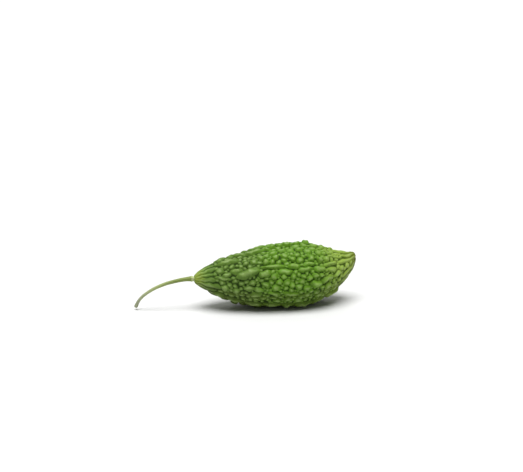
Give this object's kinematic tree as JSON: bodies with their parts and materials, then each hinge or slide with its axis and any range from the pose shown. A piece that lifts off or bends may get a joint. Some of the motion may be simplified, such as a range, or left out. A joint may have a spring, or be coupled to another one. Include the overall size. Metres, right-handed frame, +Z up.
{
  "type": "bitter gourd",
  "caption": "Warty spindle-shaped bitter gourd with a hooked blossom tip and a curved cut stem, lying on its belly as picked.",
  "frame": {"origin": "on the surface that the fruit lies on, under the middle of the whole box, stem included", "axes": "+X runs along the fruit from its stem towards its blossom tip, +Z is up"},
  "size_m": [0.1666, 0.05, 0.049],
  "materials": {
    "fruit_skin": "waxy, half-gloss green skin, darker in its hollows and yellower towards the tip",
    "stem_skin": "matte yellow-green stalk that greys towards its cut end"
  },
  "bodies": {
    "root": {"fruit": "fruit_skin", "stem": "stem_skin"}
  },
  "joints": []
}
